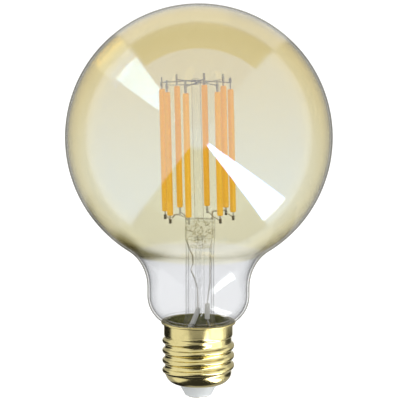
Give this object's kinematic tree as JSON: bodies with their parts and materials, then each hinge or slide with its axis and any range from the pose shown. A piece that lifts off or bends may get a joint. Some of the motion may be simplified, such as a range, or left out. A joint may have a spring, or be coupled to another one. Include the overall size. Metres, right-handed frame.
{
  "type": "globe bulb",
  "caption": "Large round lamp with an amber-tinted clear globe, upright lit strips in a ring on a glass stem, and a rolled brass screw cap.",
  "frame": {"origin": "centre of the centre contact's face on the lamp's axis, the lowest point of the lamp", "axes": "+Z along the lamp's axis from the contact up to the globe's crown; -Y is the side with the open end of the pumping hole and the bent left lead, which faces the camera; +X to its right"},
  "size_m": [0.0954, 0.0954, 0.1421],
  "materials": {
    "amber_glass": "clear blown glass with a thin amber coating on the globe, the neck left clear",
    "clear_glass": "clear lamp glass",
    "strip_phosphor": "yellow-orange phosphor silicone, unlit",
    "wire_metal": "drawn nickel-plated wire and stamped tab",
    "cap_brass": "rolled brass, bright",
    "contact_metal": "riveted contact, tinned",
    "cap_insulator": "pale blue-white, smooth",
    "cement": "pale basing cement, matt",
    "board": "green laminate",
    "component_black": "moulded black",
    "capacitor_sleeve": "dark shrink sleeve",
    "resistor_body": "grey-green lacquer",
    "sleeve_grey": "woven glass-fibre sleeve, grey",
    "sleeve_white": "woven glass-fibre sleeve, white"
  },
  "bodies": {
    "root": {"basing_cement": "cement", "bridge_rectifier": "component_black", "cap_insulator": "cap_insulator", "centre_contact": "contact_metal", "circuit_board": "board", "cross_wire_left": "wire_metal", "cross_wire_right": "wire_metal", "driver_chip": "component_black", "exhaust_tube": "clear_glass", "filament_1": "strip_phosphor", "filament_1_foot_tab": "wire_metal", "filament_1_top_tab": "wire_metal", "filament_2": "strip_phosphor", "filament_2_foot_tab": "wire_metal", "filament_2_top_tab": "wire_metal", "filament_3": "strip_phosphor", "filament_3_foot_tab": "wire_metal", "filament_3_top_tab": "wire_metal", "filament_4": "strip_phosphor", "filament_4_foot_tab": "wire_metal", "filament_4_top_tab": "wire_metal", "filament_5": "strip_phosphor", "filament_5_foot_tab": "wire_metal", "filament_5_top_tab": "wire_metal", "filament_6": "strip_phosphor", "filament_6_foot_tab": "wire_metal", "filament_6_top_tab": "wire_metal", "filament_7": "strip_phosphor", "filament_7_foot_tab": "wire_metal", "filament_7_top_tab": "wire_metal", "filament_8": "strip_phosphor", "filament_8_foot_tab": "wire_metal", "filament_8_top_tab": "wire_metal", "filter_capacitor": "capacitor_sleeve", "fusible_resistor": "resistor_body", "globe_glass": "amber_glass", "lead_sleeve_left": "sleeve_grey", "lead_sleeve_right": "sleeve_white", "lead_wire_left": "wire_metal", "lead_wire_right": "wire_metal", "screw_shell": "cap_brass", "shell_wire": "wire_metal", "side_wire_left": "wire_metal", "side_wire_right": "wire_metal", "stem_flare": "clear_glass", "stem_rod": "clear_glass", "top_wire_1": "wire_metal", "top_wire_2": "wire_metal", "top_wire_3": "wire_metal", "top_wire_4": "wire_metal"}
  },
  "joints": []
}
